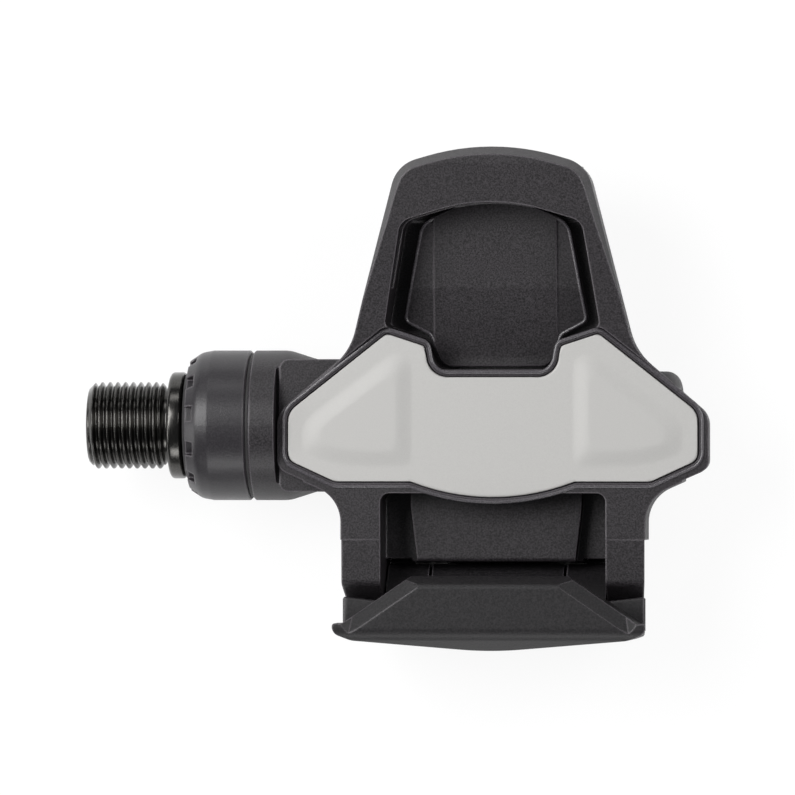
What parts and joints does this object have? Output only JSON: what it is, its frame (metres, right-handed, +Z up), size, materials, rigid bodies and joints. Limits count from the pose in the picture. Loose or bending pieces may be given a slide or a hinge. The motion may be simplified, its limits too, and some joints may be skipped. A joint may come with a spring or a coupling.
{
  "type": "clipless pedal",
  "caption": "Right-hand clipless road pedal: open nose loop, steel contact plate, sprung rear latch over a carbon blade spring, on a threaded spindle.",
  "frame": {"origin": "on the spindle's axis, at the shoulder that meets the crank", "axes": "+X along the spindle away from the crank, +Y forward to the nose, +Z up, out of the cleat side"},
  "size_m": [0.1023, 0.0819, 0.0296],
  "materials": {
    "spindle_steel": "black oxide steel, polished, glossy",
    "bearing_steel": "ground bearing steel",
    "cage_nylon": "moulded nylon",
    "seal_rubber": "black nitrile rubber",
    "spring_steel": "plain spring steel",
    "collar_black": "satin black, turned",
    "body_composite": "carbon-filled composite, fine moulded texture",
    "plate_stainless": "bead-blasted stainless steel",
    "screw_black": "black oxide steel",
    "blade_carbon": "laminated carbon fibre, clear resin",
    "keeper_stainless": "brushed stainless steel",
    "insert_brass": "knurled brass",
    "latch_composite": "carbon-filled composite, fine moulded texture",
    "pin_steel": "ground steel"
  },
  "bodies": {
    "spindle": {"spindle": "spindle_steel", "bearing_inner_race": "bearing_steel", "spindle_circlip": "spring_steel"},
    "pedal": {"pedal_body": "body_composite", "contact_plate": "plate_stainless", "plate_screws": "screw_black", "carbon_blade": "blade_carbon", "blade_keeper": "keeper_stainless", "blade_screws": "screw_black", "blade_screw_inserts": "insert_brass", "latch_pin": "pin_steel", "lock_collar": "collar_black", "lip_seal": "seal_rubber", "collar_seal": "seal_rubber", "bearing_outer_race": "bearing_steel", "bearing_shields": "seal_rubber", "needle_shell": "bearing_steel"},
    "ball_set": {"bearing_balls": "bearing_steel", "ball_cage": "cage_nylon"},
    "needle_set": {"needle_rollers": "bearing_steel", "needle_cage": "cage_nylon"},
    "latch": {"rear_latch": "latch_composite", "heel_pad": "spring_steel"}
  },
  "joints": [
    {"name": "pedal_spin", "type": "hinge", "parent": "spindle", "child": "pedal", "pos_m": [0, 0, 0], "axis": [1, 0, 0], "continuous": true},
    {"name": "ball_orbit", "type": "hinge", "parent": "spindle", "child": "ball_set", "pos_m": [0.0149, 0, 0], "axis": [1, 0, 0], "continuous": true},
    {"name": "needle_orbit", "type": "hinge", "parent": "spindle", "child": "needle_set", "pos_m": [0.0727, 0, 0], "axis": [1, 0, 0], "continuous": true},
    {"name": "latch_pivot", "type": "hinge", "parent": "pedal", "child": "latch", "pos_m": [0.0537, -0.0265, -0.0025], "axis": [1, 0, 0], "range_deg": [0, 18], "stiffness_Nm_per_rad": 12, "springref_deg": -20.05, "deforming": ["carbon_blade"]}
  ],
  "couplings": [
    {"joint": "ball_orbit", "follows": "pedal_spin", "ratio": 0.5966},
    {"joint": "needle_orbit", "follows": "pedal_spin", "ratio": 0.5785}
  ]
}
